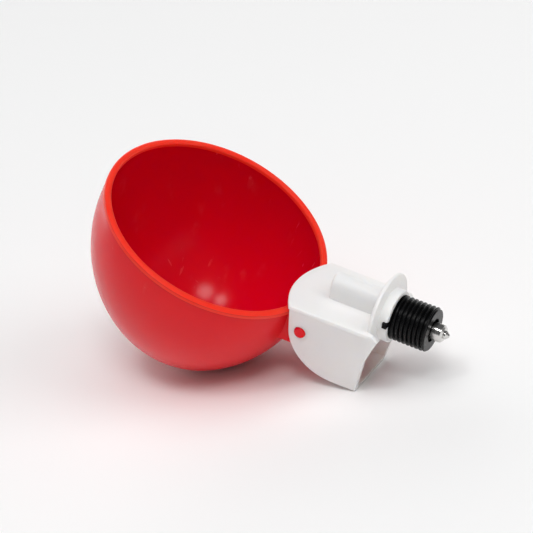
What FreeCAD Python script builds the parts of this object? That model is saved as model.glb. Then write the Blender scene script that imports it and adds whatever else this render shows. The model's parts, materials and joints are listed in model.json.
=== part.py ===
import FreeCAD, Part
import os
from math import asin, atan2, cos, pi, radians, sin, sqrt, tan

# Poultry drinking cup: a red bowl that tilts in a white bracket and works a stem valve.
# Millimetres. The origin is where the thread's axis meets the collar's rear face.
# +X runs along the thread, out of the part and into the pipe, +Z is up, and the bowl is at -X.

# Threaded sleeve
thread_d = 13.157          # major diameter of a G1/4 pipe thread
thread_len = 11.1
thread_chamfer = 0.45
sleeve_bore_d = 7.04
seat_x = 1.2               # the valve seat, ahead of the open bore
spigot_d = 10.0
spigot_len = 4.0
water_slot_w = 0.9
water_slot_r = 2.2
key_w = 1.7
key_z = 1.1
key_depth = 1.3            # along the thread's axis
key_proud = 0.3            # beyond the collar

# Valve stem and its seal
head_d = 5.2
head_out = 3.4             # how far the stem stands out of the sleeve
head_chamfer = 0.55
pip_d = 2.5
pip_len = 1.5
rod_d = 2.4
seal_t = 1.0
seal_d = 5.8
ring_groove_w = 1.3
ring_d = 0.9               # section of the ring that seals the sleeve in the collar

# Bracket
collar_d = 15.5
collar_len = 2.8
flange_d = 23.5
flange_t = 1.3
flange_low_z = -7.3        # the flange is cut off flat here, inside the box
plate_w = 26.6
plate_z = -0.2             # top face of the plate
plate_t = 1.2
plate_bow = 4.2            # how far the rounded front stands ahead of its corners
bottom_w = 20.0
box_h = 22.7               # from the plate's top face to the underside
edge_bevel = 0.3           # on the moulding's outer edges
cheek_t = 1.5
floor_t = 1.5
cheek_front_x = -27.7
cheek_arc_r = 14.0
kink_x = -3.7
kink_z = -10.8
heel_x = -5.7              # rear end of the underside
cheek_rear_x = -0.3
corner_cut = 1.6           # off the top rear corner of each cheek
boss_w = 6.6
boss_top_z = 6.7
boss_front_x = -20.5
boss_wall = 1.0
slot_rear_x = -12.5        # the lever's slot in the plate ends here

# Bowl
belly_d = 68.6             # at the widest place of the egg-shaped body
belly_below = 6.5          # that place's depth below the rim
belly_h = 40.6             # from there down to the bottom
bottom_r = 30.0            # radius of the round bottom
lip_proud = 0.4
lip_h = 1.5
rim_bevel = 0.45
wall_t = 1.6
bowl_tilt = 19.4           # degrees, front up, with the valve open
bowl_lean = 9.5            # degrees that the body itself leans then; its rim is cut at a slant
rim_x = -58.8
rim_z = 7.6

# Neck, lever and trunnions of the bowl
pivot_x = -23.9
pivot_z = -8.55
trunnion_d = 3.5
trunnion_proud = 0.2
neck_bottom_z = -15.4
neck_front_x = -34.0
neck_wall = 1.8
neck_drop = 1.5            # its top's depth below the rim's plane, inside the bowl's outline
lever_x = -13.5            # the lever's face that pushes the stem
lever_t = 1.6
lever_w = 2.8
lever_top_z = 1.4
ledge_rear_x = -6.6
ledge_top_z = -12.5
ledge_t = 1.8
ledge_w = 8.0

# Lift spring
spring_x = -10.0
spring_d = 5.0
spring_wire = 0.6
spring_turns = 5
spring_pad_d = 6.0
spring_pad_t = 0.9

# Clearances
pin_gap = 0.07             # radial, round each trunnion
rod_gap = 0.05             # radial, round the stem's rod
spigot_gap = 0.05
key_gap = 0.1
side_gap = 0.35            # between the neck and each cheek
touch_gap = 0.05           # where a loose piece meets its stop

# Places worked out from the sizes above
thread_r = thread_d / 2
collar_x = -collar_len
flange_x = collar_x - flange_t
plate_under_z = plate_z - plate_t
bottom_z = plate_z - box_h
channel_r = boss_w / 2 - boss_wall
boss_mid_z = boss_top_z - boss_w / 2
cheek_slope = (plate_w - bottom_w) / 2 / box_h
full_tilt = radians(bowl_tilt)
# the side's arc has its centre this far beyond the axis, so that it runs on into the round bottom
belly_r = belly_d / 2
side_offset = ((belly_h - bottom_r) ** 2 - (belly_r - bottom_r) ** 2) / (2 * (belly_r - bottom_r))
side_r = belly_r + side_offset
# the lever's flat face lets the stem's round end back by this much as the rim comes level
valve_travel = ((lever_x - pivot_x + rod_d / 2) * (1 - 1 / cos(full_tilt))
                - pivot_z * tan(full_tilt))
seal_x = seat_x + valve_travel + touch_gap
stem_end_x = thread_len + head_out


def vec(x, y, z):
    return FreeCAD.Vector(x, y, z)


def x_cylinder(radius, x0, x1):
    return Part.makeCylinder(radius, x1 - x0, vec(x0, 0, 0), vec(1, 0, 0))


def bevelled_disc(radius, x0, x1, bevelled):
    """Disc on the thread's axis, its rim bevelled at the ends given in bevelled."""
    disc = x_cylinder(radius, x0, x1)
    rims = [e for e in disc.Edges if e.BoundBox.XLength < 1e-6 and any(
        abs(e.BoundBox.XMin - x) < 1e-6 for x in bevelled)]
    return disc.makeChamfer(edge_bevel, rims)


def box(x0, x1, y0, y1, z0, z1):
    return Part.makeBox(x1 - x0, y1 - y0, z1 - z0, vec(x0, y0, z0))


def line(a, b):
    return Part.LineSegment(a, b).toShape()


def arc(a, middle, b):
    return Part.Arc(a, middle, b).toShape()


def prism(points, direction):
    """Closed flat outline pushed along a direction."""
    outline = Part.makePolygon([*points, points[0]])
    return Part.Face(outline).extrude(direction)


def half_width(z):
    """Half the bracket's width over its cheeks at height z."""
    return plate_w / 2 - (plate_z - z) * cheek_slope


def trapezium(x0, x1, z_low, z_high, inset):
    """Bar along X whose sides follow the cheeks, moved inwards by inset."""
    corners = [
        vec(x0, -half_width(z_low) + inset, z_low),
        vec(x0, half_width(z_low) - inset, z_low),
        vec(x0, half_width(z_high) - inset, z_high),
        vec(x0, -half_width(z_high) + inset, z_high),
    ]
    return prism(corners, vec(x1 - x0, 0, 0))


def cheek_outline():
    """Side view of the cheeks: a top that fits under the plate, round front, cut-back rear."""
    centre_x = cheek_front_x + cheek_arc_r
    centre_z = bottom_z + cheek_arc_r
    half = sqrt(0.5) * cheek_arc_r
    front_top = vec(cheek_front_x, 0, plate_under_z)
    arc_top = vec(cheek_front_x, 0, centre_z)
    arc_mid = vec(centre_x - half, 0, centre_z - half)
    arc_end = vec(centre_x, 0, bottom_z)
    heel = vec(heel_x, 0, bottom_z)
    kink = vec(kink_x, 0, kink_z)
    rear_low = vec(cheek_rear_x, 0, plate_z - corner_cut)
    rear_top = vec(cheek_rear_x - corner_cut, 0, plate_z)
    step_top = vec(flange_x, 0, plate_z)
    step_low = vec(flange_x, 0, plate_under_z)
    edges = [
        line(front_top, arc_top),
        arc(arc_top, arc_mid, arc_end),
        line(arc_end, heel),
        line(heel, kink),
        line(kink, rear_low),
        line(rear_low, rear_top),
        line(rear_top, step_top),
        line(step_top, step_low),
        line(step_low, front_top),
    ]
    face = Part.Face(Part.Wire(edges))
    face.translate(vec(0, -plate_w, 0))
    return face.extrude(vec(0, 2 * plate_w, 0))


def on_cheek(edge):
    """True for the outer edges of the cheeks, but for those under and behind the plate."""
    ends = [vertex.Point for vertex in edge.Vertexes]
    outside = all(abs(abs(end.y) - half_width(end.z)) < 1e-3 for end in ends)
    same_side = ends[0].y * ends[-1].y > 0
    under_plate = (edge.BoundBox.ZMin > plate_under_z - 1e-3
                   and edge.BoundBox.XMin < flange_x + 1e-3 and edge.BoundBox.ZMin < plate_z - 1e-3)
    return outside and same_side and not under_plate


def plate():
    """Flat top with a shallow round front that hangs over the bowl's rim."""
    half = plate_w / 2
    rear_x = flange_x + flange_t / 2
    z = plate_under_z
    left = vec(cheek_front_x, -half, z)
    right = vec(cheek_front_x, half, z)
    apex = vec(cheek_front_x - plate_bow, 0, z)
    edges = [
        arc(left, apex, right),
        line(right, vec(rear_x, half, z)),
        line(vec(rear_x, half, z), vec(rear_x, -half, z)),
        line(vec(rear_x, -half, z), left),
    ]
    slab = Part.Face(Part.Wire(edges)).extrude(vec(0, 0, plate_t))
    top_rim = [e for e in slab.Edges if e.BoundBox.ZMin > plate_z - 1e-3
               and e.BoundBox.XMin < rear_x - 1]
    return slab.makeChamfer(edge_bevel, top_rim)


def channel_shape(half, x0, x1, z_low):
    """Bar along X with upright sides and a round top, as the boss and its channel have."""
    side = vec(x0, -half, z_low)
    edges = [
        line(side, vec(x0, -half, boss_mid_z)),
        arc(vec(x0, -half, boss_mid_z), vec(x0, 0, boss_mid_z + half), vec(x0, half, boss_mid_z)),
        line(vec(x0, half, boss_mid_z), vec(x0, half, z_low)),
        line(vec(x0, half, z_low), side),
    ]
    return Part.Face(Part.Wire(edges)).extrude(vec(x1 - x0, 0, 0))


def boss():
    """Valve housing on the plate, with a rounded closed end."""
    solid = channel_shape(boss_w / 2, boss_front_x, flange_x + flange_t / 2, plate_under_z)
    front = [e for e in solid.Edges if abs(e.BoundBox.XMax - boss_front_x) < 1e-6
             and e.BoundBox.ZMax > plate_z]
    return solid.makeFillet(boss_wall, front)


def bracket():
    block = trapezium(cheek_front_x, cheek_rear_x, bottom_z, plate_z, 0).common(cheek_outline())
    block = block.makeChamfer(edge_bevel, [e for e in block.Edges if on_cheek(e)])
    hollow = trapezium(cheek_front_x - 1, cheek_rear_x + 1, bottom_z + floor_t, plate_under_z, cheek_t)
    body = block.cut(hollow)
    # the top of the box ends at the flange, and only the cheeks run past it
    body = body.cut(box(flange_x + flange_t, 1, -collar_d, collar_d, plate_under_z - 1, plate_z + 1)
                    .common(trapezium(flange_x, 1, plate_under_z - 1, plate_z + 1, cheek_t)))
    body = body.fuse([
        plate(),
        boss(),
        bevelled_disc(flange_d / 2, flange_x, collar_x, (flange_x, collar_x)).cut(
            box(flange_x - 1, 0, -flange_d, flange_d, -flange_d, flange_low_z)),
        bevelled_disc(collar_d / 2, flange_x, 0, (0,)),
        x_cylinder(boss_w / 2, slot_rear_x, flange_x),
        spring_pad(),
    ])
    body = body.removeSplitter()
    front_x = boss_front_x + boss_wall
    body = body.cut([
        channel_shape(channel_r, front_x, slot_rear_x, plate_under_z - 1),
        channel_shape(channel_r, slot_rear_x - 1, flange_x + 1, 0),
        x_cylinder(channel_r, slot_rear_x - 1, flange_x + 1),
        x_cylinder(spigot_d / 2 + spigot_gap, -spigot_len - touch_gap, 1),
        box(-key_depth - key_gap, 1, -collar_d, 0, key_z - key_w / 2 - key_gap,
            key_z + key_w / 2 + key_gap),
        Part.makeCylinder(trunnion_d / 2 + pin_gap, 2 * plate_w, vec(pivot_x, -plate_w, pivot_z),
                          vec(0, 1, 0)),
    ])
    return body.removeSplitter()


def spring_pad():
    """Flat seat for the lift spring under the valve housing."""
    top = plate_under_z
    low = -boss_w / 2 - spring_pad_t
    return Part.makeCylinder(spring_pad_d / 2, top - low, vec(spring_x, 0, low), vec(0, 0, 1))


def cut_reach(side):
    """How far from the body's axis the slanted rim lies, to the rear for 1 and the front for -1."""
    slant = radians(bowl_tilt - bowl_lean)
    back = side_offset * cos(slant) - side * belly_below * sin(slant)
    return sqrt(back ** 2 + side_r ** 2 - side_offset ** 2 - belly_below ** 2) - back


def egg(offset):
    """The bowl's body, moved inwards by offset and set leaning in its place."""
    widest = -belly_below
    ball_z = widest - (belly_h - bottom_r)
    meet = atan2(belly_h - bottom_r, side_offset)
    r = side_r - offset
    top_z = 3 * belly_below
    side = [vec(r * cos(angle) - side_offset, 0, widest + r * sin(angle))
            for angle in (asin((top_z - widest) / r), 0, -meet)]
    low_r = bottom_r - offset
    half_way = (meet + pi / 2) / 2
    low_middle = vec(low_r * cos(half_way), 0, ball_z - low_r * sin(half_way))
    low = vec(0, 0, ball_z - low_r)
    top = vec(0, 0, top_z)
    edges = [line(top, side[0]), arc(*side), arc(side[2], low_middle, low), line(low, top)]
    solid = Part.Face(Part.Wire(edges)).revolve(vec(0, 0, 0), vec(0, 0, 1), 360)
    solid.rotate(vec(0, 0, 0), vec(0, 1, 0), bowl_lean)
    # the slanted cut is all but round, and this brings its middle to the rim's
    shift = (cut_reach(1) - cut_reach(-1)) / 2
    solid.translate(vec(rim_x - shift * cos(full_tilt), 0, rim_z + shift * sin(full_tilt)))
    return solid


def below_rim(drop):
    """All the space that lies at least drop below the rim's plane."""
    space = Part.makeCylinder(belly_d, 2 * belly_h, vec(0, 0, -drop - 2 * belly_h), vec(0, 0, 1))
    space.rotate(vec(0, 0, 0), vec(0, 1, 0), bowl_tilt)
    space.translate(vec(rim_x, 0, rim_z))
    return space


def bowl():
    """Egg-shaped shell cut at a slant, with a bevelled lip that stands proud round its rim."""
    lip = egg(-lip_proud).cut(below_rim(lip_h))
    shell = egg(0).fuse(lip).common(below_rim(0)).cut(egg(wall_t))
    rim_edges = [e for e in shell.Edges if on_rim(e)]
    return shell.makeChamfer(rim_bevel, rim_edges)


def on_rim(edge):
    """True for the edges that lie in the rim's plane."""
    places = [edge.valueAt(edge.FirstParameter + share * (edge.LastParameter - edge.FirstParameter))
              for share in (0.1, 0.5, 0.9)]
    heights = [(place.x - rim_x) * sin(full_tilt) + (place.z - rim_z) * cos(full_tilt)
               for place in places]
    return max(abs(height) for height in heights) < 1e-3


def neck_side(points):
    face = Part.Face(Part.makePolygon([*points, points[0]]))
    face.translate(vec(0, -plate_w, 0))
    return face.extrude(vec(0, 2 * plate_w, 0))


def neck_height(x, gap):
    """Highest point that the neck may have at x and still swing clear under the plate."""
    reach = x - pivot_x
    room = plate_under_z - gap - pivot_z
    return pivot_z + min(room, (room - reach * sin(full_tilt)) / cos(full_tilt))


def neck():
    rear_z = neck_height(lever_x, side_gap)
    front_z = neck_height(pivot_x, side_gap) - lip_h
    outline = [
        vec(neck_front_x, 0, front_z),
        vec(neck_front_x, 0, neck_bottom_z),
        vec(lever_x - lever_t, 0, neck_bottom_z),
        vec(lever_x, 0, ledge_top_z - ledge_t),
        vec(lever_x, 0, rear_z),
        vec(pivot_x, 0, front_z),
    ]
    return neck_side(outline).common(trapezium(neck_front_x, 0, bottom_z, plate_z, cheek_t + side_gap))


def trough():
    """Hollow of the neck, where the water falls and runs into the bowl."""
    floor_z = neck_bottom_z + neck_wall
    space = trapezium(neck_front_x - 1, lever_x - lever_t, floor_z, plate_z + 2,
                      cheek_t + side_gap + neck_wall)
    return space


def cup():
    neck_block = neck()
    ahead = neck_block.common(box(neck_front_x - 1, pivot_x, -plate_w, plate_w, -60, 60))
    behind = neck_block.common(box(pivot_x, 10, -plate_w, plate_w, -60, 60))
    solid = bowl().fuse([ahead.common(below_rim(neck_drop)), behind])
    solid = solid.cut([egg(wall_t).common(below_rim(0)), trough()])
    lever = box(lever_x - lever_t, lever_x, -lever_w / 2, lever_w / 2, ledge_top_z, lever_top_z)
    ledge = box(lever_x - touch_gap, ledge_rear_x, -ledge_w / 2, ledge_w / 2, ledge_top_z - ledge_t,
                ledge_top_z)
    pin_half = half_width(pivot_z) + trunnion_proud
    inner_half = half_width(pivot_z) - cheek_t - side_gap - neck_wall / 2
    pins = [Part.makeCylinder(trunnion_d / 2, pin_half - inner_half,
                              vec(pivot_x, side * inner_half, pivot_z), vec(0, side, 0))
            for side in (-1, 1)]
    return solid.fuse([lever, ledge, *pins]).removeSplitter()


def threaded_sleeve():
    outer = x_cylinder(thread_r, 0, thread_len)
    end = [e for e in outer.Edges if abs(e.BoundBox.XMin - thread_len) < 1e-6]
    outer = outer.makeChamfer(thread_chamfer, end)
    spigot = x_cylinder(spigot_d / 2, -spigot_len, 0)
    key = box(-key_depth, 0, -collar_d / 2 - key_proud, -spigot_d / 2 + 0.5,
              key_z - key_w / 2, key_z + key_w / 2)
    body = outer.fuse([spigot, key])
    slots = [box(-spigot_len - 1, seat_x + 1, -water_slot_r, water_slot_r, -water_slot_w / 2,
                 water_slot_w / 2)]
    slots.append(slots[0].copy())
    slots[1].rotate(vec(0, 0, 0), vec(1, 0, 0), 90)
    groove_x = -spigot_len / 2 - ring_groove_w / 2
    groove = x_cylinder(spigot_d, groove_x, groove_x + ring_groove_w)
    groove = groove.cut(x_cylinder(spigot_d / 2 + spigot_gap - ring_d - touch_gap, groove_x - 1,
                                   groove_x + ring_groove_w + 1))
    body = body.cut([
        x_cylinder(sleeve_bore_d / 2, seat_x, thread_len + 1),
        x_cylinder(rod_d / 2 + rod_gap, -spigot_len - 1, seat_x + 1),
        *slots,
        groove,
    ])
    return body.removeSplitter()


def wire_section(middle, radius, sides):
    """Round section in the XZ plane, drawn with a few flat sides to keep the facets few."""
    corners = [middle + vec(radius * cos(2 * pi * k / sides), 0, radius * sin(2 * pi * k / sides))
               for k in range(sides)]
    return Part.makePolygon([*corners, corners[0]])


def sleeve_ring():
    middle_r = spigot_d / 2 + spigot_gap - (ring_d + touch_gap) / 2
    section = wire_section(vec(-spigot_len / 2, 0, middle_r), ring_d / 2, 12)
    return Part.Face(section).revolve(vec(0, 0, 0), vec(1, 0, 0), 360)


def valve_stem():
    """Turned pin: rod, head and the small pip at its end, as one revolved outline."""
    head_x = seal_x + seal_t
    rod_r = rod_d / 2
    round_x = lever_x + touch_gap + rod_r
    head_r = head_d / 2
    pip_r = pip_d / 2
    points = [
        (round_x, rod_r),
        (head_x, rod_r),
        (head_x, head_r),
        (stem_end_x - head_chamfer, head_r),
        (stem_end_x, head_r - head_chamfer),
        (stem_end_x, pip_r),
        (stem_end_x + pip_len * 0.4, pip_r),
        (stem_end_x + pip_len, pip_r * 0.35),
        (stem_end_x + pip_len, 0),
    ]
    front = round_x - rod_r
    half = sqrt(0.5) * rod_r
    round_end = arc(vec(front, 0, 0), vec(round_x - half, 0, half), vec(round_x, 0, rod_r))
    side = Part.makePolygon([vec(x, 0, r) for x, r in points])
    axis = line(vec(stem_end_x + pip_len, 0, 0), vec(front, 0, 0))
    outline = Part.Wire([round_end, *side.Edges, axis])
    return Part.Face(outline).revolve(vec(0, 0, 0), vec(1, 0, 0), 360)


def valve_seal():
    disc = x_cylinder(seal_d / 2, seal_x, seal_x + seal_t)
    return disc.cut(x_cylinder(rod_d / 2, seal_x - 1, seal_x + seal_t + 1))


def lift_spring():
    """Coil spring between the housing's pad and the ledge behind the neck."""
    wire_r = spring_wire / 2
    low = ledge_top_z + touch_gap + wire_r
    high = -boss_w / 2 - spring_pad_t - touch_gap - wire_r
    height = high - low
    radius = (spring_d - spring_wire) / 2
    helix = Part.makeHelix(height / spring_turns, height, radius)
    coil = Part.Wire(helix).makePipeShell([wire_section(vec(radius, 0, 0), wire_r, 6)], True, True)
    coil.translate(vec(spring_x, 0, low))
    return coil


parts = {
    "bracket": bracket(),
    "cup": cup(),
    "threaded_sleeve": threaded_sleeve(),
    "sleeve_ring": sleeve_ring(),
    "valve_stem": valve_stem(),
    "valve_seal": valve_seal(),
    "lift_spring": lift_spring(),
}

os.makedirs("parts", exist_ok=True)
for name, shape in parts.items():
    shape.exportStep(f"parts/{name}.step")
    size = shape.BoundBox
    print(f"{name}: {len(shape.Solids)} solid, valid {shape.isValid()}, {shape.Volume:.1f} mm3,"
          f" {size.XLength:.1f} x {size.YLength:.1f} x {size.ZLength:.1f} mm")
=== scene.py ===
import json
import math

import bmesh
import bpy
from mathutils import Matrix, Vector


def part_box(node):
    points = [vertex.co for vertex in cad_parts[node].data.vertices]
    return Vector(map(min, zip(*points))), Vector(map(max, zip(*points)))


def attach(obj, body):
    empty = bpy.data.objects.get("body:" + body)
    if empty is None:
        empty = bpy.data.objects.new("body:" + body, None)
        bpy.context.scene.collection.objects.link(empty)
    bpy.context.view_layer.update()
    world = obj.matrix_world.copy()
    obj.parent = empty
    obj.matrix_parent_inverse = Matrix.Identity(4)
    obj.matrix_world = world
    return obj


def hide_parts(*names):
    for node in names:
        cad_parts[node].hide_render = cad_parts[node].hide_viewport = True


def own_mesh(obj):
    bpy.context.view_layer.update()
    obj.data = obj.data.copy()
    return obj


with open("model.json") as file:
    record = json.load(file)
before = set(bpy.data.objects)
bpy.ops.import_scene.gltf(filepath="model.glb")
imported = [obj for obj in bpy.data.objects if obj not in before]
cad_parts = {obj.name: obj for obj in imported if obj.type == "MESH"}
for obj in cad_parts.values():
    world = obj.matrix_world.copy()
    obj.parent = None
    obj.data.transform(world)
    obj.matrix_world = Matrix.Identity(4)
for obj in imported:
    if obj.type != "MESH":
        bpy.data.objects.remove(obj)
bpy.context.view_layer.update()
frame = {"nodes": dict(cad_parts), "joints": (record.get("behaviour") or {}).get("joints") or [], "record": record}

scene = bpy.context.scene
nodes = frame["nodes"]
mm = 0.001

# The photograph's camera: degrees, millimetres, and a focal length in pixels of its own frame
photo = {
    "pixels": 533,
    "focalPixels": 2500,
    "azimuth": 24.43,
    "elevation": 34.06,
    "roll": 6.84,
    "distance": 701.4,
    "aside": -36.87,
    "above": 14.08,
    "sensor": 36,
}

# Floor, surroundings and lamps. A direction is in degrees above the floor and round from the pipe's
# side, a width in degrees too, and a share is a lamp's part of the light that falls on the floor
studio = {
    "target": (-0.045, 0, -0.02),
    "floorRadius": 0.9,
    "floorSides": 96,
    "floorRoughness": 0.7,
    "floorPitches": (5.0, 40.0),  # the part's lean on the floor is looked for between these
    "halvings": 30,
    "floorSeen": 0.93,  # its colour to the camera and in reflections
    "floorGives": 0.9,  # its colour for the light that it throws back
    "backdrop": 0.93,
    "ceiling": 0.12,  # what gloss sees high up
    "ceilingRise": 0.2,  # the sine of the elevation where it is reached
    "skyStrength": 0.125,
    "glowStrength": 2.2,  # a bright backdrop low behind the object
    "glowElevation": 4,
    "glowAzimuth": 145,
    "glowEdge": (0.72, 0.96),  # cosines of the angles where it ends and where it is full
    "lampDistance": 4,
}
lamps = {
    "window": {"elevation": 55, "azimuth": -52, "width": 17, "share": 0.145},
    "panel": {"elevation": 66, "azimuth": -90, "width": 12, "share": 0.105},
    "front": {"elevation": 33, "azimuth": -60, "width": 34, "share": 0.03, "inGloss": False},
    "side": {"elevation": 40, "azimuth": 8, "width": 36, "share": 0.145, "inGloss": False},
    "overhead": {"elevation": 80, "azimuth": -60, "width": 60, "share": 0.355, "inGloss": False},
}


class Wire:  # an output socket that takes part in Python sums
    def __init__(self, tree, socket):
        self.tree = tree
        self.socket = socket

    def node(self, kind, fed, out=0, **settings):
        made = self.tree.nodes.new(kind)
        for key, value in settings.items():
            setattr(made, key, value)
        for key, value in fed.items():
            if isinstance(value, Wire):
                self.tree.links.new(value.socket, made.inputs[key])
            else:
                made.inputs[key].default_value = value
        return Wire(self.tree, made.outputs[out])

    def calc(self, operation, other=0.0):
        return self.node("ShaderNodeMath", {0: self, 1: other}, operation=operation)

    def __add__(self, other):
        return self.calc("ADD", other)

    def __sub__(self, other):
        return self.calc("SUBTRACT", other)

    def __rsub__(self, other):
        return self.node("ShaderNodeMath", {0: other, 1: self}, operation="SUBTRACT")

    def __mul__(self, other):
        return self.calc("MULTIPLY", other)

    def __truediv__(self, other):
        return self.calc("DIVIDE", other)

    __radd__ = __add__
    __rmul__ = __mul__

    def between(self, low, high):
        return self.calc("MAXIMUM", low).calc("MINIMUM", high)

    def ramp(self, start, end, first=0.0, last=1.0):  # an eased change from first to last
        fed = {0: self, 1: start, 2: end, 3: first, 4: last}
        return self.node("ShaderNodeMapRange", fed, interpolation_type="SMOOTHSTEP")

    def axis(self, index):
        return self.node("ShaderNodeSeparateXYZ", {0: self}, index)

    def along(self, direction):
        fed = {0: self, 1: direction}
        return self.node("ShaderNodeVectorMath", fed, "Value", operation="DOT_PRODUCT")


def noise(place, scale, detail=3.0, stretch=(1, 1, 1), turn=(0, 0, 0)):
    moved = place.node("ShaderNodeMapping", {"Vector": place, "Scale": stretch, "Rotation": turn})
    return place.node("ShaderNodeTexNoise", {"Vector": moved, "Scale": scale, "Detail": detail})


def mixColor(factor, first, second):
    fed = {"Factor": factor}
    for key, color in ((6, first), (7, second)):  # the node's two colour inputs
        fed[key] = color if isinstance(color, Wire) else (*color, 1)
    return factor.node("ShaderNodeMix", fed, out=2, data_type="RGBA")


def bump(height, strength, distance):
    fed = {"Height": height, "Strength": strength, "Distance": distance}
    return height.node("ShaderNodeBump", fed)


def newMaterial(name, build, **fixed):
    made = bpy.data.materials.new(name)
    made.use_nodes = True
    tree = made.node_tree
    shader = tree.nodes["Principled BSDF"]
    for key, value in fixed.items():
        shader.inputs[key.replace("_", " ")].default_value = value
    coordinates = tree.nodes.new("ShaderNodeTexCoord")
    fed = build(Wire(tree, coordinates.outputs["Object"]))
    for key, wire in fed.items():
        tree.links.new(wire.socket, shader.inputs[key])
    return made


# The bowl's plastic. Its rim is lit through and looks orange, the outside is satin, and the glossy inner wall,
# painted a darker red as shade, is scratched by use. Places are in millimetres, and heights are above the rim's
# own plane
bowlSkin = {
    "centre": (-60, 0, 1),
    "rimPlace": (-58.8, 0, 7.6),
    "rimTilt": 19.4,
    "bandHeights": (-1.65, -1.35),  # the orange band fades in between these
    # painted shade: a dark line below the lip's step fades in between these
    "grooveHeights": (-2.1, -1.75),
    # painted shade: a fine dark line across the rim band, between these heights
    "rimLineHeights": (-0.8, -0.65, -0.55, -0.4),  # a fine line fades in and out again
    "wallTurn": 0.002,  # how soft the change from inside to outside is
    # painted shade: the inside's darker red stands in for the light it lacks
    "inside": (0.66, 0.0002, 0.015),
    "outside": (0.79, 0.009, 0.016),
    "outsideDark": (0.75, 0.005, 0.014),
    # painted light: the rim band's lighter orange, for light that comes through it
    "rim": (0.86, 0.045, 0.022),
    # painted shade, for the line below the lip and the fine line across the rim band
    "groove": (0.42, 0.001, 0.008),
    "scratch": (0.90, 0.16, 0.15),
}


def redPlastic(place):
    tilt = math.radians(bowlSkin["rimTilt"])
    upward = Vector((math.sin(tilt), 0, math.cos(tilt)))
    rimLevel = upward.dot(Vector(bowlSkin["rimPlace"])) * mm
    height = place.along(upward) - rimLevel
    fromCentre = place.node("ShaderNodeVectorMath", {0: place, 1: Vector(bowlSkin["centre"]) * mm},
                            operation="SUBTRACT")
    outwards = fromCentre.along(place.node("ShaderNodeTexCoord", {}, "Normal"))
    outside = outwards.ramp(-bowlSkin["wallTurn"], bowlSkin["wallTurn"])
    # painted light: the orange band below the rim's plane
    bandLow, bandHigh = (level * mm for level in bowlSkin["bandHeights"])
    band = height.ramp(bandLow, bandHigh)
    grooveLow, grooveHigh = (level * mm for level in bowlSkin["grooveHeights"])
    # painted shade in the step below the lip, on the outside only
    groove = height.ramp(grooveLow, grooveHigh) * (1 - band) * outside
    # painted shade: the dark line across the rim band, on the outside only
    lineLow, lineFull, lineEnds, lineHigh = (level * mm for level in bowlSkin["rimLineHeights"])
    rimLineShade = height.ramp(lineLow, lineFull) * height.ramp(lineEnds, lineHigh, 1.0, 0.0) * outside

    broad = noise(place, scale=38)
    fine = noise(place, scale=900, detail=2)
    lines = noise(place, scale=160, detail=6, stretch=(1, 5, 0.25), turn=(0.4, 0.2, 0.9))
    crossing = noise(place, scale=140, detail=6, stretch=(4, 0.3, 1), turn=(0.1, 0.8, 0.3))
    scratches = (lines.ramp(0.66, 0.70) + crossing.ramp(0.67, 0.71)).between(0, 1)
    scuffs = scratches * noise(place, scale=30).ramp(0.45, 0.65)
    haze = noise(place, scale=130, detail=4, stretch=(1.5, 1, 0.8)).ramp(0.58, 0.78)
    cloud = haze * (1 - outside) * (1 - band)
    marks = (scuffs * (0.3 - outside * 0.22) + cloud * 0.1).between(0, 1)

    satin = mixColor(broad, bowlSkin["outsideDark"], bowlSkin["outside"])
    # painted shade: the inside takes the darker red, the outside the satin colours
    plain = mixColor(outside, bowlSkin["inside"], satin)
    marked = mixColor(marks, plain, bowlSkin["scratch"])
    color = mixColor(groove * 0.6, marked, bowlSkin["groove"])
    rim = mixColor(rimLineShade * 0.45, bowlSkin["rim"], bowlSkin["groove"])
    return {
        "Base Color": mixColor(band, color, rim),
        "Roughness": 0.18 + fine * 0.04 + marks * 0.6 + outside * 0.04 + band * 0.2,
        "Normal": bump(broad * 0.6 + fine * 0.04 + marks * 0.3, 0.12, 0.0006),
    }


# The bracket's plastic, painted warmer and darker inside its rear opening for the shade there and the light that
# comes through its walls, in millimetres
whiteSkin = {
    "deep": (0.88, 0.865, 0.845),
    "light": (0.93, 0.92, 0.905),
    # painted shade and light come through the walls, inside the rear opening
    "warmShade": (0.90, 0.80, 0.68),
    "openingFront": -12,
    "openingRear": -3,
    "openingTop": -9,
    "openingFade": 3,
    "openingHalfWidths": (8.3, 9.3),
}


def whitePlastic(place):
    broad = noise(place, scale=60)
    fine = noise(place, scale=1500, detail=2)
    smudge = noise(place, scale=110, detail=5).ramp(0.5, 0.75)
    # painted shade: the rear opening's inside turns warmer and darker, patchy with the smudge noise
    inner, outer = (width * mm for width in whiteSkin["openingHalfWidths"])
    within = place.axis(1).calc("ABSOLUTE").ramp(inner, outer, 1.0, 0.0)
    top = whiteSkin["openingTop"] * mm
    below = place.axis(2).ramp(top - whiteSkin["openingFade"] * mm, top, 1.0, 0.0)
    rearwards = place.axis(0).ramp(whiteSkin["openingFront"] * mm, whiteSkin["openingRear"] * mm)
    openingShade = within * below * rearwards * (0.5 + smudge * 0.4)
    shade = (broad * 0.7 + smudge * 0.3).between(0, 1)
    plain = mixColor(shade, whiteSkin["light"], whiteSkin["deep"])
    return {
        "Base Color": mixColor(openingShade, plain, whiteSkin["warmShade"]),
        "Roughness": 0.36 + fine * 0.1 + smudge * 0.08,
        "Normal": bump(fine * 0.2 + broad, 0.08, 0.0004),
    }


def blackPlastic(place):
    broad = noise(place, scale=120)
    fine = noise(place, scale=2200)
    return {
        "Base Color": mixColor(broad, (0.0016, 0.0016, 0.0018), (0.004, 0.004, 0.0044)),
        "Roughness": 0.22 + fine * 0.14,
        "Normal": bump(fine, 0.12, 0.0002),
    }


def rubber(place):
    fine = noise(place, scale=1800, detail=4)
    return {
        "Base Color": mixColor(fine, (0.014, 0.014, 0.015), (0.028, 0.028, 0.028)),
        "Roughness": 0.6 + fine * 0.2,
        "Normal": bump(fine, 0.2, 0.0002),
    }


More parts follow.
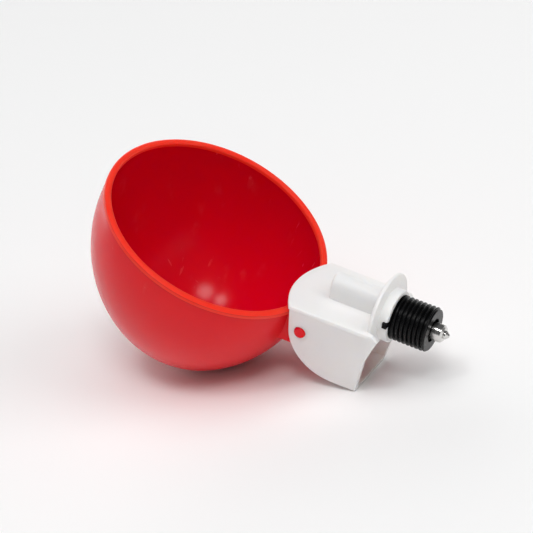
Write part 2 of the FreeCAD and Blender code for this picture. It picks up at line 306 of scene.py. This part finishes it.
def steel(place):
    broad = noise(place, scale=90)
    turned = noise(place, scale=700, stretch=(6, 0.4, 0.4))
    return {
        "Base Color": mixColor(broad, (0.60, 0.59, 0.57), (0.72, 0.71, 0.695)),
        "Roughness": 0.12 + turned * 0.16,
        "Normal": bump(turned, 0.15, 0.0001),
    }


def springWire(place):
    fine = noise(place, scale=1500, detail=4)
    return {
        "Base Color": mixColor(fine, (0.48, 0.47, 0.45), (0.62, 0.61, 0.59)),
        "Roughness": 0.25 + fine * 0.2,
        "Normal": bump(fine, 0.1, 0.0001),
    }


# Light passes some way through the two pale plastics
redGlow = {
    "Subsurface_Weight": 1.0,
    "Subsurface_Radius": (1.0, 0.1, 0.06),
    "Subsurface_Scale": 0.002,
}
whiteGlow = {
    "Subsurface_Weight": 0.5,
    "Subsurface_Radius": (1.0, 0.88, 0.75),
    "Subsurface_Scale": 0.003,
}
skins = {
    "cup_plastic": newMaterial("mouldedRed", redPlastic, Specular_IOR_Level=0.22, **redGlow),
    "bracket_plastic": newMaterial("mouldedWhite", whitePlastic, **whiteGlow),
    "sleeve_plastic": newMaterial("mouldedBlack", blackPlastic, Specular_IOR_Level=0.2),
    "seal_rubber": newMaterial("blackRubber", rubber),
    "stem_steel": newMaterial("turnedSteel", steel, Metallic=1.0),
    "spring_steel": newMaterial("springWire", springWire, Metallic=1.0),
}
slotOf = {}
for part in frame["record"]["subparts"]:
    slotOf[part["node"]] = part["material_slot"]
    data = nodes[part["node"]].data
    data.materials.clear()
    data.materials.append(skins[part["material_slot"]])
print("materials on the model's own parts")

touching = 0.001 * mm  # corners as close as this are one corner
near = 0.01 * mm  # and a corner as close as this to a face or an end lies on it


def weldedCopy(node):  # the model's triangles share no corners, so a copy is merged first
    bm = bmesh.new()
    bm.from_mesh(nodes[node].data)
    for name in [layer.name for layer in bm.loops.layers.float_vector]:
        bm.loops.layers.float_vector.remove(bm.loops.layers.float_vector[name])
    bmesh.ops.remove_doubles(bm, verts=bm.verts, dist=touching)
    return bm


def newPiece(name, bm, node, body, hardAngle):
    mesh = bpy.data.meshes.new(name)
    for face in bm.faces:
        face.smooth = True
    bm.to_mesh(mesh)
    bm.free()
    if "custom_normal" in mesh.attributes:
        mesh.attributes.remove(mesh.attributes["custom_normal"])
    mesh.set_sharp_from_angle(angle=math.radians(hardAngle))
    mesh.materials.clear()
    mesh.materials.append(skins[slotOf[node]])
    piece = bpy.data.objects.new(name, mesh)
    scene.collection.objects.link(piece)
    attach(piece, body)
    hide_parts(node)
    return piece


def evaluatedMesh(piece):  # what the modifiers give, as a plain mesh
    bpy.context.view_layer.update()
    evaluated = piece.evaluated_get(bpy.context.evaluated_depsgraph_get())
    return bpy.data.meshes.new_from_object(evaluated)


# Edges with a bevel in the model catch the light as rounded ones do, smooth up to hardAngle
softEdges = {"hardAngle": 62, "weight": 80}


def softenedPiece(name, bm, node, body):
    piece = newPiece(name, bm, node, body, softEdges["hardAngle"])
    shade = piece.modifiers.new("shade", "WEIGHTED_NORMAL")
    shade.keep_sharp = True
    shade.weight = softEdges["weight"]
    softened = evaluatedMesh(piece)
    piece.modifiers.clear()
    piece.data = softened


# The trunnions end in low domes with a groove round them, in millimetres
pinEnd = {
    "radius": 1.8,
    "flat": 0.99,  # how squarely an end's faces look sideways
    "sunk": 0.12,
    "chamfer": 0.12,
    "rise": 0.4,
    "crown": 0.5,
    "crownRise": 0.15,
}


def domedCup():
    bm = weldedCopy("cup")
    joint = next(each for each in frame["joints"] if each["name"] == "cup_tilt")
    pivot = Vector(joint["pos_m"])
    rounds = {corner for corner in bm.verts
              if (corner.co - pivot).xz.length < pinEnd["radius"] * mm}
    farthest = max(abs(corner.co.y) for corner in rounds)
    bm.normal_update()
    for side in (-1, 1):
        tips = {corner for corner in rounds if side * corner.co.y > farthest - near}
        ends = [face for face in bm.faces
                if side * face.normal.y > pinEnd["flat"] and tips.issuperset(face.verts)]
        for corner in {corner for face in ends for corner in face.verts}:
            corner.co.y -= side * pinEnd["sunk"] * mm
        for width, rise in (("chamfer", "rise"), ("crown", "crownRise")):
            bmesh.ops.inset_region(
                bm, faces=ends, thickness=pinEnd[width] * mm, depth=pinEnd[rise] * mm)
    return bm


# The black sleeve's pipe thread, in millimetres. A share is a part of half the pitch, out from a
# crest: the crest is flat up to crestShare, and the root is reached at rootShare
thread = {
    "pitch": 1.337,
    "depth": 0.86,
    "crestShare": 0.16,
    "rootShare": 0.80,
    "shoulder": 0.25,  # full-size ring beside the collar
    "leadIn": 0.4,
    "runOut": 0.5,
    "around": 128,
    "along": 176,
    "hardAngle": 50,
    "square": 0.9,  # how squarely the body's end faces look along the axis
}


def newTree(name, floats, wholes):  # a tree with named inputs, and its inputs as wires
    tree = bpy.data.node_groups.new(name, "GeometryNodeTree")
    for kind, names in (("Float", floats), ("Int", wholes), ("Material", ("Material",))):
        for each in names:
            tree.interface.new_socket(each, in_out="INPUT", socket_type="NodeSocket" + kind)
    tree.interface.new_socket("Geometry", in_out="OUTPUT", socket_type="NodeSocketGeometry")
    inputs = tree.nodes.new("NodeGroupInput")
    return tree, {socket.name: Wire(tree, socket) for socket in inputs.outputs if socket.name}


def finishTree(tree, shape, material):
    shape = shape.node("GeometryNodeRealizeInstances", {"Geometry": shape})
    shape = shape.node("GeometryNodeSetMaterial", {"Geometry": shape, "Material": material})
    result = tree.nodes.new("NodeGroupOutput")
    tree.links.new(shape.socket, result.inputs["Geometry"])


def meshFromTree(tree, values):
    holder = bpy.data.objects.new(tree.name, bpy.data.meshes.new(tree.name))
    scene.collection.objects.link(holder)
    made = holder.modifiers.new("made", "NODES")
    made.node_group = tree
    for item in tree.interface.items_tree:
        if item.name in values:
            made[item.identifier] = values[item.name]
    mesh = evaluatedMesh(holder)
    bpy.data.objects.remove(holder)
    return mesh


def threadTree():
    floats = ("Start", "End", "Pitch", "Inner Radius", "Crest Radius", "Root Radius", "Tip Radius",
              "Crest Share", "Root Share", "Shoulder", "Lead In", "Run Out")
    tree, given = newTree("threadTurns", floats, ("Around", "Along"))
    start, end = given["Start"], given["End"]
    grid = start.node("GeometryNodeMeshGrid", {
        "Size X": 1.0,
        "Size Y": 1.0,
        "Vertices X": given["Around"],
        "Vertices Y": given["Along"],
    })
    spot = start.node("GeometryNodeInputPosition", {})
    turn = spot.axis(0) + 0.5
    row = spot.axis(1) + 0.5
    place = start + row * (end - start)
    phase = (place / given["Pitch"] - turn).calc("FRACT")
    fromCrest = (phase - 0.5).calc("ABSOLUTE") * 2
    height = fromCrest.ramp(given["Crest Share"], given["Root Share"], 1.0, 0.0)
    clear = start + given["Shoulder"]
    shoulder = place.ramp(clear, clear + given["Shoulder"], 1.0, 0.0)
    height = (height * place.ramp(clear, clear + given["Lead In"])).calc("MAXIMUM", shoulder)
    root, tip = given["Root Radius"], given["Tip Radius"]
    radius = root + (given["Crest Radius"] - root) * height
    left = end - place
    radius = radius + (tip - radius) * left.ramp(0.0, given["Run Out"], 1.0, 0.0)
    radius = radius.calc("MINIMUM", tip + left)
    afterFirst = row.calc("GREATER_THAN", 1e-4)  # the first row closes the gap to the spigot
    radius = given["Inner Radius"] + (radius - given["Inner Radius"]) * afterFirst
    angle = turn * math.tau
    across = radius * angle.calc("COSINE")
    above = radius * angle.calc("SINE")
    moved = place.node("ShaderNodeCombineXYZ", {0: place, 1: across, 2: above})
    shape = grid.node("GeometryNodeSetPosition", {"Geometry": grid, "Position": moved})
    shape = shape.node("GeometryNodeMergeByDistance", {"Geometry": shape, "Distance": touching})
    finishTree(tree, shape, given["Material"])
    return tree


def threadTurns(inner, crest, tip, end):
    return meshFromTree(threadTree(), {
        "Start": 0.0,
        "End": end,
        "Pitch": thread["pitch"] * mm,
        "Inner Radius": inner,
        "Crest Radius": crest,
        "Root Radius": crest - thread["depth"] * mm,
        "Tip Radius": tip,
        "Crest Share": thread["crestShare"],
        "Root Share": thread["rootShare"],
        "Shoulder": thread["shoulder"] * mm,
        "Lead In": thread["leadIn"] * mm,
        "Run Out": thread["runOut"] * mm,
        "Around": thread["around"] + 1,
        "Along": thread["along"] + 1,
        "Material": skins["sleeve_plastic"],
    })


def sleevePiece():  # the turned body gives its plain cylinder up for the turns
    bm = weldedCopy("threaded_sleeve")
    end = max(corner.co.x for corner in bm.verts)
    crest = max(corner.co.z for corner in bm.verts)
    tip = max(corner.co.yz.length for corner in bm.verts if corner.co.x > end - touching)
    bm.normal_update()
    spare = []
    for face in bm.faces:
        outside = min(corner.co.yz.length for corner in face.verts) > tip - near
        ahead = min(corner.co.x for corner in face.verts) > -touching
        onCollar = max(corner.co.x for corner in face.verts) < touching
        cylinder = outside and face.normal.x < thread["square"]
        backFace = onCollar and face.normal.x < -thread["square"]
        if ahead and (cylinder or backFace):
            spare.append(face)
    bmesh.ops.delete(bm, geom=spare, context="FACES")
    inner = max(corner.co.z for corner in bm.verts if corner.co.x < -touching)
    bm.from_mesh(threadTurns(inner, crest, tip, end))
    newPiece("sleeveWithThread", bm, "threaded_sleeve", "bracket_body", thread["hardAngle"])


# The lift spring, in millimetres, made at its full height. The filled cup, as it swings down, squeezes the real
# spring to a share of its height
spring = {"wire": 0.6, "turns": 5, "perTurn": 32, "around": 12, "squeezed": 0.3}


def springTree():
    floats = ("Coil Radius", "Wire Radius", "Height", "Turns", "Centre X", "Centre Y", "Low Z")
    tree, given = newTree("springCoil", floats, ("Per Turn", "Around"))
    coil = given["Height"].node("GeometryNodeCurveSpiral", {
        "Resolution": given["Per Turn"],
        "Rotations": given["Turns"],
        "Start Radius": given["Coil Radius"],
        "End Radius": given["Coil Radius"],
        "Height": given["Height"],
    })
    section = coil.node("GeometryNodeCurvePrimitiveCircle", {
        "Resolution": given["Around"],
        "Radius": given["Wire Radius"],
    })
    shape = coil.node("GeometryNodeCurveToMesh", {
        "Curve": coil,
        "Profile Curve": section,
        "Fill Caps": True,
    })
    place = coil.node("ShaderNodeCombineXYZ", {
        0: given["Centre X"],
        1: given["Centre Y"],
        2: given["Low Z"],
    })
    shape = shape.node("GeometryNodeTransform", {"Geometry": shape, "Translation": place})
    finishTree(tree, shape, given["Material"])
    return tree


def springPiece():
    low, high = (Vector(corner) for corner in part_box("lift_spring"))
    wireRadius = spring["wire"] * mm / 2
    centre = (low + high) / 2
    mesh = meshFromTree(springTree(), {
        "Coil Radius": (high.y - low.y) / 2 - wireRadius,
        "Wire Radius": wireRadius,
        "Height": high.z - low.z - 2 * wireRadius,
        "Turns": float(spring["turns"]),
        "Centre X": centre.x,
        "Centre Y": centre.y,
        "Low Z": low.z + wireRadius,
        "Per Turn": spring["perTurn"],
        "Around": spring["around"],
        "Material": skins["spring_steel"],
    })
    bm = bmesh.new()
    bm.from_mesh(mesh)
    piece = newPiece("springCoil", bm, "lift_spring", "bracket_body", softEdges["hardAngle"])
    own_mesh(piece)


softenedPiece("drinkingCup", domedCup(), "cup", "cup_body")
softenedPiece("whiteBracket", weldedCopy("bracket"), "bracket", "bracket_body")
sleevePiece()
springPiece()
print("cup, bracket, threaded sleeve and spring")


def lowest(node, normal):
    return min(point.co.dot(normal) for point in nodes[node].data.vertices)


def findFloor():  # the part lies on the bowl's round bottom and the bracket's rear edge
    low, high = studio["floorPitches"]
    for halving in range(studio["halvings"]):
        middle = (low + high) / 2
        pitch = math.radians(middle)
        normal = Vector((-math.sin(pitch), 0, math.cos(pitch)))
        if lowest("cup", normal) > lowest("bracket", normal):
            high = middle
        else:
            low = middle
    print("floor pitch", round(math.degrees(pitch), 2))
    return normal, lowest("cup", normal)


def seenRay(tree):  # 1 for what the camera sees, also in gloss and through glass
    path = tree.nodes.new("ShaderNodeLightPath")
    rays = [Wire(tree, path.outputs[name]) for name in
            ("Is Camera Ray", "Is Glossy Ray", "Is Transmission Ray")]
    return (rays[0] + rays[1] + rays[2]).between(0, 1)


def makeFloor(normal, height):
    centre = Vector(studio["target"])
    centre += normal * (height - centre.dot(normal))
    bm = bmesh.new()
    bmesh.ops.create_circle(
        bm, cap_ends=True, segments=studio["floorSides"], radius=studio["floorRadius"])
    bm.transform(Matrix.Translation(centre) @ normal.to_track_quat("Z", "Y").to_matrix().to_4x4())
    mesh = bpy.data.meshes.new("floor")
    bm.to_mesh(mesh)
    bm.free()
    made = bpy.data.materials.new("paleFloor")
    made.use_nodes = True
    tree = made.node_tree
    shader = tree.nodes["Principled BSDF"]
    shader.inputs["Roughness"].default_value = studio["floorRoughness"]
    shader.inputs["Specular IOR Level"].default_value = 0.0
    gives, seen = ((studio[key],) * 3 for key in ("floorGives", "floorSeen"))
    tree.links.new(mixColor(seenRay(tree), gives, seen).socket, shader.inputs["Base Color"])
    # from below the floor is left out, so that the object's underside can be looked at
    facing = tree.nodes.new("ShaderNodeNewGeometry")
    path = tree.nodes.new("ShaderNodeLightPath")
    hidden = Wire(tree, facing.outputs["Backfacing"]) * Wire(tree, path.outputs["Is Camera Ray"])
    clear = tree.nodes.new("ShaderNodeBsdfTransparent")
    blend = hidden.node("ShaderNodeMixShader", {
        0: hidden,
        1: Wire(tree, shader.outputs[0]),
        2: Wire(tree, clear.outputs[0]),
    })
    tree.links.new(blend.socket, tree.nodes["Material Output"].inputs["Surface"])
    mesh.materials.append(made)
    floor = bpy.data.objects.new("floor", mesh)
    scene.collection.objects.link(floor)


def pointing(normal, elevation, azimuth):  # a direction over the floor
    rise, around = math.radians(elevation), math.radians(azimuth)
    aside = Vector((0, 1, 0))
    ahead = aside.cross(normal)
    level = ahead * math.cos(around) + aside * math.sin(around)
    return level * math.cos(rise) + normal * math.sin(rise)


def makeWorld(normal):
    world = bpy.data.worlds.new("studio")
    scene.world = world
    world.use_nodes = True
    tree = world.node_tree
    shade = tree.nodes["Background"]
    coordinates = tree.nodes.new("ShaderNodeTexCoord")
    direction = Wire(tree, coordinates.outputs["Generated"])
    path = tree.nodes.new("ShaderNodeLightPath")
    unseen = 1 - Wire(tree, path.outputs["Is Camera Ray"])
    high = studio["ceiling"] * unseen + studio["backdrop"] * (1 - unseen)
    shown = direction.along(normal).ramp(0.0, studio["ceilingRise"], studio["backdrop"], high)
    toGlow = pointing(normal, studio["glowElevation"], studio["glowAzimuth"])
    edge, full = studio["glowEdge"]
    glow = direction.along(toGlow).ramp(edge, full, 0.0, studio["glowStrength"]) * unseen
    level = studio["skyStrength"] + seenRay(tree) * (shown - studio["skyStrength"]) + glow
    shade.inputs["Color"].default_value = (1, 1, 1, 1)
    tree.links.new(level.socket, shade.inputs["Strength"])


def makeLamp(name, lamp, normal):
    toLamp = pointing(normal, lamp["elevation"], lamp["azimuth"])
    distance = studio["lampDistance"]
    radius = distance * math.tan(math.radians(lamp["width"] / 2))
    light = bpy.data.lights.new(name, "AREA")
    light.shape = "DISK"
    light.size = 2 * radius
    spread = math.pi ** 2 * (distance ** 2 + radius ** 2)
    light.energy = lamp["share"] * spread / toLamp.dot(normal)
    made = bpy.data.objects.new(name, light)
    scene.collection.objects.link(made)
    made.location = Vector(studio["target"]) + toLamp * distance
    made.rotation_mode = "QUATERNION"
    made.rotation_quaternion = toLamp.to_track_quat("Z", "Y")
    made.visible_glossy = lamp.get("inGloss", True)


def makeCamera(view):
    azimuth, elevation, roll = (math.radians(view[key]) for key in ("azimuth", "elevation", "roll"))
    forward = Vector((-math.sin(azimuth) * math.cos(elevation),
                      math.cos(azimuth) * math.cos(elevation), -math.sin(elevation)))
    level = Vector((math.cos(azimuth), math.sin(azimuth), 0))
    upright = level.cross(forward)
    right = level * math.cos(roll) + upright * math.sin(roll)
    up = upright * math.cos(roll) - level * math.sin(roll)
    place = (right * view["aside"] + up * view["above"] - forward * view["distance"]) * mm
    data = bpy.data.cameras.new("camera")
    data.sensor_width = view["sensor"]
    data.lens = view["focalPixels"] * view["sensor"] / view["pixels"]
    camera = bpy.data.objects.new("camera", data)
    scene.collection.objects.link(camera)
    turned = Matrix((right, up, -forward)).transposed().to_4x4()
    camera.matrix_world = Matrix.Translation(place) @ turned
    scene.camera = camera


floorNormal, floorHeight = findFloor()
makeFloor(floorNormal, floorHeight)
makeWorld(floorNormal)
for name, lamp in lamps.items():
    makeLamp(name, lamp, floorNormal)
makeCamera(photo)
scene.view_settings.view_transform = "Standard"
print("floor, lamps and camera")
